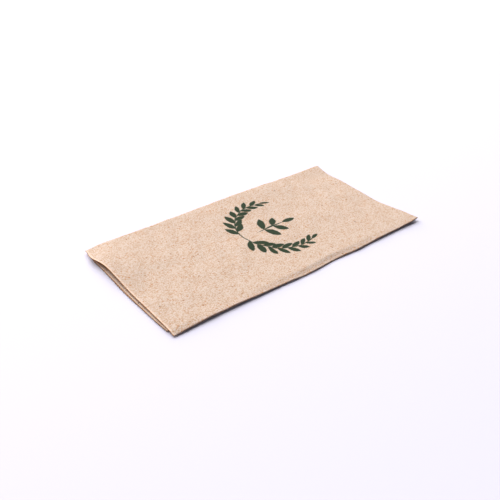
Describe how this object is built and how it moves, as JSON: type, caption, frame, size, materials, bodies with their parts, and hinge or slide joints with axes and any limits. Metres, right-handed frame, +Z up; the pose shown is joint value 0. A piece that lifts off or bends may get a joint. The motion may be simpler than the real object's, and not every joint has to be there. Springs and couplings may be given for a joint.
{
  "type": "paper napkin",
  "caption": "Soft brown tissue napkin folded lengthwise, across and over again into a flat oblong, for wiping hands and mouth or laying beside a plate.",
  "frame": {"origin": "on the surface that it lies on, under the middle of the folded napkin", "axes": "+X along the length towards the closed short end, +Y across towards the spine, +Z up from the surface"},
  "size_m": [0.165, 0.0828, 0.003],
  "materials": {
    "tissue": "uncoated unbleached recycled tissue, matt and finely mottled, with a small dark green print on its top face"
  },
  "bodies": {
    "root": {"napkin": "tissue"}
  },
  "joints": []
}
